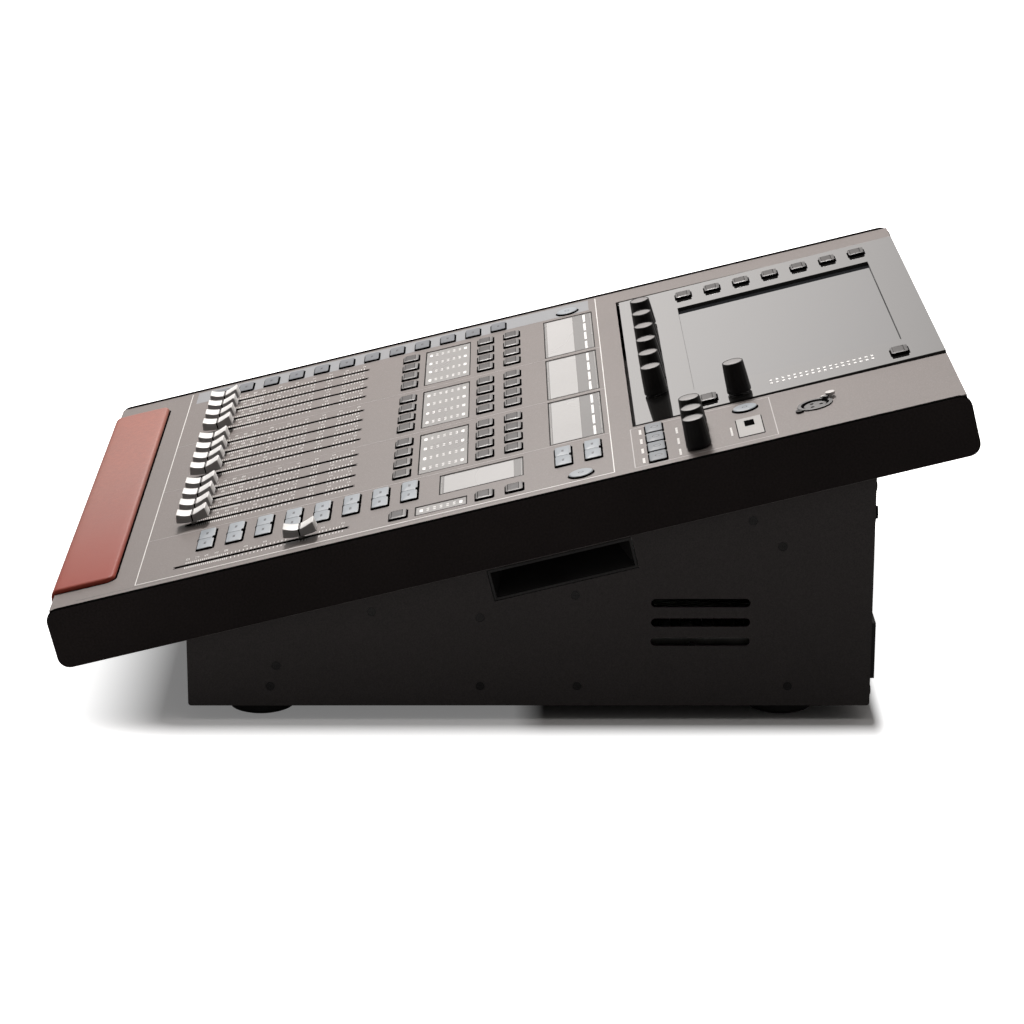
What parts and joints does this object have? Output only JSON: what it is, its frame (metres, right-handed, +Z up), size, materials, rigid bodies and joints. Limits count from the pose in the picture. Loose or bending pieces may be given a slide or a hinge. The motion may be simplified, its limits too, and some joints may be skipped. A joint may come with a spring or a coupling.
{
  "type": "digital mixing console",
  "caption": "Compact sloped mixing desk: channel faders, key banks, meters, rotary controls, tilting touch display, palm rest and sheet-metal base on rubber feet.",
  "frame": {"origin": "centre of the bounding box in plan, on the plane the feet stand on", "axes": "+X the operator's right, -Y the operator's side (low front edge), +Y the rear panel, +Z up"},
  "size_m": [0.48, 0.5988, 0.221],
  "materials": {
    "black_powder": "satin powder coat",
    "grey_panel": "satin metallic paint",
    "cheek_black": "satin black",
    "palm_leather": "smooth reddish-brown leather-cloth",
    "foot_rubber": "matte",
    "screw_black": "black zinc",
    "display_black": "gloss",
    "screen_glass": "gloss, screen off",
    "knob_black": "soft-touch black with light cap",
    "cap_white": "white top on a dark body",
    "key_grey": "translucent grey",
    "key_blue": "pale blue-grey",
    "lens_white": "translucent pale lens",
    "lcd_white": "white display behind a lens",
    "plated_steel": "zinc plated",
    "pcb_green": "solder resist",
    "socket_black": "moulded",
    "socket_nickel": "nickel plated",
    "moulded_black": "moulded"
  },
  "bodies": {
    "chassis": {"chassis_tub": "black_powder", "rear_panel": "black_powder", "upper_tray": "black_powder", "left_cheek": "cheek_black", "right_cheek": "cheek_black", "top_panel": "grey_panel", "palm_rest": "palm_leather", "handle_cups": "moulded_black", "rubber_feet": "foot_rubber", "case_screws": "screw_black", "hinge_pins": "plated_steel", "fader_frames": "plated_steel", "fader_motors": "plated_steel", "channel_displays": "lcd_white", "meter_lenses": "lens_white", "control_boards": "pcb_green", "main_board": "pcb_green", "power_supply": "plated_steel", "fan_housing": "moulded_black", "rear_connectors": "socket_black", "mains_inlet": "socket_black", "talkback_socket": "socket_black", "usb_socket": "socket_nickel"},
    "display": {"display_bezel": "display_black", "display_glass": "screen_glass", "display_tub": "moulded_black", "display_board": "pcb_green"},
    "encoder_1": {"encoder_knob_1": "knob_black"},
    "encoder_2": {"encoder_knob_2": "knob_black"},
    "encoder_3": {"encoder_knob_3": "knob_black"},
    "encoder_4": {"encoder_knob_4": "knob_black"},
    "encoder_5": {"encoder_knob_5": "knob_black"},
    "encoder_6": {"encoder_knob_6": "knob_black"},
    "wheel": {"select_wheel": "knob_black"},
    "custom_1": {"custom_knob_1": "knob_black"},
    "custom_2": {"custom_knob_2": "knob_black"},
    "custom_3": {"custom_knob_3": "knob_black"},
    "fader_01": {"fader_cap_01": "cap_white"},
    "fader_02": {"fader_cap_02": "cap_white"},
    "fader_03": {"fader_cap_03": "cap_white"},
    "fader_04": {"fader_cap_04": "cap_white"},
    "fader_05": {"fader_cap_05": "cap_white"},
    "fader_06": {"fader_cap_06": "cap_white"},
    "fader_07": {"fader_cap_07": "cap_white"},
    "fader_08": {"fader_cap_08": "cap_white"},
    "fader_09": {"fader_cap_09": "cap_white"},
    "fader_10": {"fader_cap_10": "cap_white"},
    "fader_11": {"fader_cap_11": "cap_white"},
    "fader_12": {"fader_cap_12": "cap_white"},
    "main_fader": {"main_fader_cap": "cap_white"},
    "select_bank": {"select_keys": "key_grey"},
    "solo_bank": {"solo_keys": "key_grey"},
    "mute_bank": {"mute_keys": "key_grey"},
    "layer_bank": {"layer_keys": "key_blue"},
    "bank_bank": {"bank_keys": "key_blue"},
    "command_bank": {"command_keys": "key_blue"},
    "round_bank": {"round_keys": "key_blue"},
    "screen_bank": {"screen_keys": "key_grey"},
    "rocker": {"power_rocker": "socket_black"},
    "fan": {"fan_rotor": "moulded_black"}
  },
  "joints": [
    {"name": "display_tilt", "type": "hinge", "parent": "chassis", "child": "display", "pos_m": [0, 0.09072, 0.16572], "axis": [1, 0, 0], "range_deg": [0, 30]},
    {"name": "encoder_1_turn", "type": "hinge", "parent": "display", "child": "encoder_1", "pos_m": [-0.1172, 0.10182, 0.1732], "axis": [0, -0.247, 0.969], "continuous": true},
    {"name": "encoder_2_turn", "type": "hinge", "parent": "display", "child": "encoder_2", "pos_m": [-0.0802, 0.10182, 0.1732], "axis": [0, -0.247, 0.969], "continuous": true},
    {"name": "encoder_3_turn", "type": "hinge", "parent": "display", "child": "encoder_3", "pos_m": [-0.0432, 0.10182, 0.1732], "axis": [0, -0.247, 0.969], "continuous": true},
    {"name": "encoder_4_turn", "type": "hinge", "parent": "display", "child": "encoder_4", "pos_m": [-0.0062, 0.10182, 0.1732], "axis": [0, -0.247, 0.969], "continuous": true},
    {"name": "encoder_5_turn", "type": "hinge", "parent": "display", "child": "encoder_5", "pos_m": [0.0308, 0.10182, 0.1732], "axis": [0, -0.247, 0.969], "continuous": true},
    {"name": "encoder_6_turn", "type": "hinge", "parent": "display", "child": "encoder_6", "pos_m": [0.0678, 0.10182, 0.1732], "axis": [0, -0.247, 0.969], "continuous": true},
    {"name": "select_wheel_turn", "type": "hinge", "parent": "display", "child": "wheel", "pos_m": [0.1135, 0.15501, 0.18676], "axis": [0, -0.247, 0.969], "continuous": true},
    {"name": "custom_1_turn", "type": "hinge", "parent": "chassis", "child": "custom_1", "pos_m": [0.1642, 0.12264, 0.17826], "axis": [0, -0.2402, 0.9707], "continuous": true},
    {"name": "custom_2_turn", "type": "hinge", "parent": "chassis", "child": "custom_2", "pos_m": [0.1887, 0.12264, 0.17826], "axis": [0, -0.2402, 0.9707], "continuous": true},
    {"name": "custom_3_turn", "type": "hinge", "parent": "chassis", "child": "custom_3", "pos_m": [0.2132, 0.12264, 0.17826], "axis": [0, -0.2402, 0.9707], "continuous": true},
    {"name": "fader_01_travel", "type": "slide", "parent": "chassis", "child": "fader_01", "axis": [0, 0.9707, 0.2402], "range_m": [0, 0.1]},
    {"name": "fader_02_travel", "type": "slide", "parent": "chassis", "child": "fader_02", "axis": [0, 0.9707, 0.2402], "range_m": [0, 0.1]},
    {"name": "fader_03_travel", "type": "slide", "parent": "chassis", "child": "fader_03", "axis": [0, 0.9707, 0.2402], "range_m": [0, 0.1]},
    {"name": "fader_04_travel", "type": "slide", "parent": "chassis", "child": "fader_04", "axis": [0, 0.9707, 0.2402], "range_m": [0, 0.1]},
    {"name": "fader_05_travel", "type": "slide", "parent": "chassis", "child": "fader_05", "axis": [0, 0.9707, 0.2402], "range_m": [0, 0.1]},
    {"name": "fader_06_travel", "type": "slide", "parent": "chassis", "child": "fader_06", "axis": [0, 0.9707, 0.2402], "range_m": [0, 0.1]},
    {"name": "fader_07_travel", "type": "slide", "parent": "chassis", "child": "fader_07", "axis": [0, 0.9707, 0.2402], "range_m": [0, 0.1]},
    {"name": "fader_08_travel", "type": "slide", "parent": "chassis", "child": "fader_08", "axis": [0, 0.9707, 0.2402], "range_m": [0, 0.1]},
    {"name": "fader_09_travel", "type": "slide", "parent": "chassis", "child": "fader_09", "axis": [0, 0.9707, 0.2402], "range_m": [0, 0.1]},
    {"name": "fader_10_travel", "type": "slide", "parent": "chassis", "child": "fader_10", "axis": [0, 0.9707, 0.2402], "range_m": [0, 0.1]},
    {"name": "fader_11_travel", "type": "slide", "parent": "chassis", "child": "fader_11", "axis": [0, 0.9707, 0.2402], "range_m": [0, 0.1]},
    {"name": "fader_12_travel", "type": "slide", "parent": "chassis", "child": "fader_12", "axis": [0, 0.9707, 0.2402], "range_m": [0, 0.1]},
    {"name": "main_fader_travel", "type": "slide", "parent": "chassis", "child": "main_fader", "axis": [0, 0.9707, 0.2402], "range_m": [-0.0797, 0.0203]},
    {"name": "select_keys_press", "type": "slide", "parent": "chassis", "child": "select_bank", "axis": [0, 0.2402, -0.9707], "range_m": [0, 0.001], "stiffness_N_per_m": 400},
    {"name": "solo_keys_press", "type": "slide", "parent": "chassis", "child": "solo_bank", "axis": [0, 0.2402, -0.9707], "range_m": [0, 0.001], "stiffness_N_per_m": 400},
    {"name": "mute_keys_press", "type": "slide", "parent": "chassis", "child": "mute_bank", "axis": [0, 0.2402, -0.9707], "range_m": [0, 0.001], "stiffness_N_per_m": 400},
    {"name": "layer_keys_press", "type": "slide", "parent": "chassis", "child": "layer_bank", "axis": [0, 0.2402, -0.9707], "range_m": [0, 0.001], "stiffness_N_per_m": 400},
    {"name": "bank_keys_press", "type": "slide", "parent": "chassis", "child": "bank_bank", "axis": [0, 0.2402, -0.9707], "range_m": [0, 0.001], "stiffness_N_per_m": 400},
    {"name": "command_keys_press", "type": "slide", "parent": "chassis", "child": "command_bank", "axis": [0, 0.2402, -0.9707], "range_m": [0, 0.001], "stiffness_N_per_m": 400},
    {"name": "round_keys_press", "type": "slide", "parent": "chassis", "child": "round_bank", "axis": [0, 0.2402, -0.9707], "range_m": [0, 0.001], "stiffness_N_per_m": 400},
    {"name": "screen_keys_press", "type": "slide", "parent": "display", "child": "screen_bank", "axis": [0, 0.247, -0.969], "range_m": [0, 0.001], "stiffness_N_per_m": 400},
    {"name": "power_rocker_tip", "type": "hinge", "parent": "chassis", "child": "rocker", "pos_m": [0.208, 0.23265, 0.0542], "axis": [1, 0, 0], "range_deg": [0, 12]},
    {"name": "fan_spin", "type": "hinge", "parent": "chassis", "child": "fan", "pos_m": [-0.2345, 0.12395, 0.071], "axis": [1, 0, 0], "continuous": true}
  ]
}
